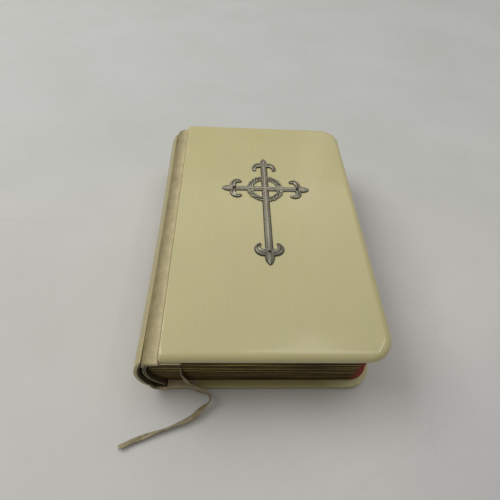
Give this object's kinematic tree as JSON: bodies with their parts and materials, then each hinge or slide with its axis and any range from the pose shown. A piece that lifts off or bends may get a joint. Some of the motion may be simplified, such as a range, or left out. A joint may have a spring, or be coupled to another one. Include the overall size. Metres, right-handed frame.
{
  "type": "prayer book",
  "caption": "Vest-pocket prayer book with moulded cream covers, a hollow leather-jointed spine, gilt-edged sewn gatherings, a silver cross and a ribbon marker.",
  "frame": {"origin": "centre of the closed book's footprint, on the surface that its back cover rests on", "axes": "+X from the spine to the fore-edge, +Y from the tail to the head, +Z out of the front cover"},
  "size_m": [0.0832, 0.133, 0.0291],
  "materials": {
    "celluloid": "polished cream celluloid with ivory grain",
    "joint_leather": "matt pinkish-beige skiver",
    "spine_leather": "dull brown flesh side",
    "liner": "matt grey-green lining leather",
    "endpaper": "matt cream paper",
    "gilt_leaves": "thin paper, edges dulled gilt over red",
    "tape": "woven linen tape",
    "thread": "waxed linen thread",
    "ribbon": "faded silk, narrow weave",
    "silver": "tarnished silver plate",
    "pin_steel": "worn pin heads"
  },
  "bodies": {
    "back_cover": {"back_board": "celluloid", "back_hinge_flap": "joint_leather", "back_lining": "endpaper"},
    "back_flyleaf": {"back_flyleaf": "endpaper"},
    "text_block": {"section_01": "gilt_leaves", "section_02": "gilt_leaves", "section_03": "gilt_leaves", "section_04": "gilt_leaves", "section_05": "gilt_leaves", "section_06": "gilt_leaves", "section_07": "gilt_leaves", "liner_lower": "liner", "tapes_lower": "tape", "thread_lower": "thread", "ribbon_marker": "ribbon", "ribbon_tail": "ribbon", "back_joint_leather": "joint_leather"},
    "spine": {"spine_plate": "celluloid", "spine_leather": "spine_leather"},
    "upper_leaves": {"section_08": "gilt_leaves", "section_09": "gilt_leaves", "section_10": "gilt_leaves", "section_11": "gilt_leaves", "section_12": "gilt_leaves", "liner_upper": "liner", "tapes_upper": "tape", "thread_upper": "thread", "front_joint_leather": "joint_leather"},
    "front_flyleaf": {"front_flyleaf": "endpaper"},
    "front_cover": {"front_board": "celluloid", "front_hinge_flap": "joint_leather", "front_lining": "endpaper", "cross": "silver", "thorn_ring": "silver", "cross_pins": "pin_steel"}
  },
  "joints": [
    {"name": "back_cover_hinge", "type": "hinge", "parent": "back_cover", "child": "text_block", "pos_m": [-0.0307, 0, 0], "axis": [0, -1, 0], "range_deg": [0, 135]},
    {"name": "back_flyleaf_turn", "type": "hinge", "parent": "back_cover", "child": "back_flyleaf", "pos_m": [-0.0292, 0, 0.0034], "axis": [0, -1, 0], "range_deg": [0, 70]},
    {"name": "block_opening", "type": "hinge", "parent": "text_block", "child": "upper_leaves", "pos_m": [-0.0366, 0, 0.01562], "axis": [0, -1, 0], "range_deg": [0, 45]},
    {"name": "spine_swing", "type": "hinge", "parent": "text_block", "child": "spine", "pos_m": [-0.0364, 0, 0.0045], "axis": [0, -1, 0], "range_deg": [0, 20]},
    {"name": "front_cover_hinge", "type": "hinge", "parent": "upper_leaves", "child": "front_cover", "pos_m": [-0.0307, 0, 0.0278], "axis": [0, -1, 0], "range_deg": [0, 180]},
    {"name": "front_flyleaf_turn", "type": "hinge", "parent": "upper_leaves", "child": "front_flyleaf", "pos_m": [-0.0292, 0, 0.0242], "axis": [0, -1, 0], "range_deg": [0, 90]}
  ],
  "couplings": [
    {"joint": "back_flyleaf_turn", "follows": "back_cover_hinge", "ratio": 0.5},
    {"joint": "spine_swing", "follows": "block_opening", "ratio": 0.44},
    {"joint": "front_flyleaf_turn", "follows": "front_cover_hinge", "ratio": 0.5}
  ]
}
